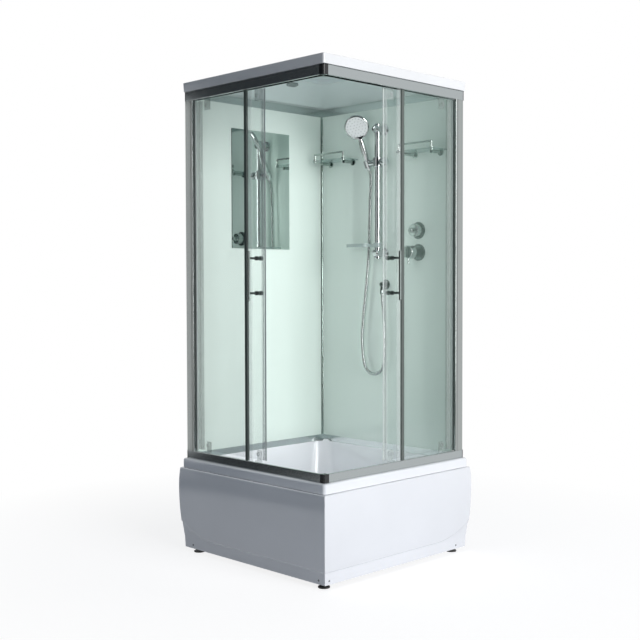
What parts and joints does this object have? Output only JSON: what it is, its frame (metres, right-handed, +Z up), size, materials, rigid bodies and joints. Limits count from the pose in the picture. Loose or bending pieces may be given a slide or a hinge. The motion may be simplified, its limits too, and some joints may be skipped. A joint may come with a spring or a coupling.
{
  "type": "corner shower cabin",
  "caption": "Square corner shower cabin with a deep tray, two sliding glass doors that meet at the corner, solid back walls, roof, mirror, shelves and a hand shower on a riser rail.",
  "frame": {"origin": "on the floor under the middle of the square tray", "axes": "+Z up. The glazed faces look to -Y (front) and +X (side) and meet at the (+X, -Y) corner. The mirror wall stands at -X and the fittings wall at +Y."},
  "size_m": [0.9195, 0.9395, 2.15],
  "materials": {
    "tray_acrylic": "glossy white acrylic",
    "apron_acrylic": "glossy white acrylic",
    "frame_steel": "grey painted steel tube",
    "foot_plastic": "black nylon",
    "screw_cap": "pale caps over screws",
    "chrome": "polished chrome",
    "plated_plastic": "chrome plated moulding",
    "trap_plastic": "moulded grey-white plastic",
    "rail_aluminium": "bright anodised",
    "post_aluminium": "satin anodised",
    "dark_plastic": "dark moulded plastic",
    "dark_gloss": "dark glossy moulding",
    "clear_glass": "clear toughened glass",
    "wall_glass": "pale green back-painted glass",
    "clear_seal": "translucent vinyl",
    "mirror_silver": "silvered glass",
    "roof_plastic": "white moulded plastic",
    "lamp_plastic": "opal diffuser",
    "spray_plastic": "pale spray plate",
    "hose_chrome": "wound metal hose",
    "clear_plastic": "clear moulded plastic",
    "valve_brass": "machined brass",
    "wheel_nylon": "acetal wheel",
    "carrier_metal": "plated plate and bolt"
  },
  "bodies": {
    "cabin": {"apron_screws": "screw_cap", "ceiling": "roof_plastic", "ceiling_lamp": "lamp_plastic", "ceiling_vent": "dark_plastic", "drain_flange": "chrome", "drain_trap": "trap_plastic", "fittings_wall": "wall_glass", "front_apron": "apron_acrylic", "front_bottom_rail": "rail_aluminium", "front_fixed_glass": "clear_glass", "front_top_rail": "rail_aluminium", "glass_edge_channels": "rail_aluminium", "glazing_seals": "clear_seal", "levelling_feet": "foot_plastic", "mirror": "mirror_silver", "mirror_wall": "wall_glass", "rail_corner_joints": "dark_gloss", "rail_end_caps": "dark_plastic", "riser_brackets": "chrome", "riser_rail": "chrome", "roof": "roof_plastic", "shelf_frames": "chrome", "shelf_glasses": "clear_glass", "shower_hose": "hose_chrome", "side_apron": "apron_acrylic", "side_bottom_rail": "rail_aluminium", "side_fixed_glass": "clear_glass", "side_top_rail": "rail_aluminium", "tray": "tray_acrylic", "tray_frame": "frame_steel", "valve_plumbing": "valve_brass", "valve_shields": "chrome", "wall_elbow": "chrome", "wall_posts": "post_aluminium", "wall_strips": "post_aluminium"},
    "front_door": {"front_door_glass": "clear_glass", "front_magnet_strip": "clear_seal", "front_rear_seal": "clear_seal", "front_handle": "chrome", "front_door_carriers": "carrier_metal"},
    "side_door": {"side_door_glass": "clear_glass", "side_magnet_strip": "clear_seal", "side_rear_seal": "clear_seal", "side_handle": "chrome", "side_door_carriers": "carrier_metal"},
    "front_roller_a": {"front_wheel_a": "wheel_nylon"},
    "front_roller_b": {"front_wheel_b": "wheel_nylon"},
    "side_roller_a": {"side_wheel_a": "wheel_nylon"},
    "side_roller_b": {"side_wheel_b": "wheel_nylon"},
    "slider": {"slider_body": "chrome"},
    "clamp_knob": {"slider_knob": "chrome"},
    "handset": {"shower_holder": "chrome", "hand_shower": "plated_plastic", "spray_face": "spray_plastic", "hose_nut": "chrome"},
    "dish": {"soap_dish": "clear_plastic"},
    "waste_cover": {"drain_cover": "chrome"},
    "mixer_spindle": {"mixer_stem": "valve_brass"},
    "mixer_lever": {"mixer_handle": "chrome"},
    "diverter": {"diverter_knob": "chrome"}
  },
  "joints": [
    {"name": "front_door_slide", "type": "slide", "parent": "cabin", "child": "front_door", "axis": [1, 0, 0], "range_m": [0, 0.338]},
    {"name": "side_door_slide", "type": "slide", "parent": "cabin", "child": "side_door", "axis": [0, -1, 0], "range_m": [0, 0.338]},
    {"name": "front_roller_a_spin", "type": "hinge", "parent": "front_door", "child": "front_roller_a", "pos_m": [0.01, -0.407, 2.022], "axis": [0, 1, 0], "range_deg": [-5, 2200]},
    {"name": "side_roller_a_spin", "type": "hinge", "parent": "side_door", "child": "side_roller_a", "pos_m": [0.407, -0.01, 2.022], "axis": [1, 0, 0], "range_deg": [-5, 2200]},
    {"name": "front_roller_b_spin", "type": "hinge", "parent": "front_door", "child": "front_roller_b", "pos_m": [-0.325, -0.407, 2.022], "axis": [0, 1, 0], "range_deg": [-5, 2200]},
    {"name": "side_roller_b_spin", "type": "hinge", "parent": "side_door", "child": "side_roller_b", "pos_m": [0.407, 0.325, 2.022], "axis": [1, 0, 0], "range_deg": [-5, 2200]},
    {"name": "hand_shower_height", "type": "slide", "parent": "cabin", "child": "slider", "axis": [0, 0, 1], "range_m": [-0.3, 0.1], "deforming": ["shower_hose"]},
    {"name": "clamp_knob_turn", "type": "hinge", "parent": "slider", "child": "clamp_knob", "pos_m": [0.032, 0.362, 1.76], "axis": [1, 0, 0], "range_deg": [-180, 0]},
    {"name": "hand_shower_tilt", "type": "hinge", "parent": "slider", "child": "handset", "pos_m": [-0.05, 0.362, 1.76], "axis": [1, 0, 0], "range_deg": [-10, 20]},
    {"name": "soap_dish_height", "type": "slide", "parent": "cabin", "child": "dish", "axis": [0, 0, 1], "range_m": [0, 0.03]},
    {"name": "drain_cover_lift", "type": "slide", "parent": "cabin", "child": "waste_cover", "axis": [0, 0, 1], "range_m": [0, 0.06]},
    {"name": "mixer_turn", "type": "hinge", "parent": "cabin", "child": "mixer_spindle", "pos_m": [0.196, 0.412, 1.337], "axis": [0, 1, 0], "range_deg": [-50, 50]},
    {"name": "mixer_lift", "type": "hinge", "parent": "mixer_spindle", "child": "mixer_lever", "pos_m": [0.196, 0.346, 1.337], "axis": [-1, 0, 0], "range_deg": [0, 12]},
    {"name": "diverter_turn", "type": "hinge", "parent": "cabin", "child": "diverter", "pos_m": [0.196, 0.412, 1.437], "axis": [0, 1, 0], "range_deg": [-90, 90]}
  ],
  "couplings": [
    {"joint": "front_roller_a_spin", "follows": "front_door_slide", "rad_per_m": 111.73},
    {"joint": "front_roller_b_spin", "follows": "front_door_slide", "rad_per_m": 111.73},
    {"joint": "side_roller_a_spin", "follows": "side_door_slide", "rad_per_m": 111.73},
    {"joint": "side_roller_b_spin", "follows": "side_door_slide", "rad_per_m": 111.73}
  ]
}
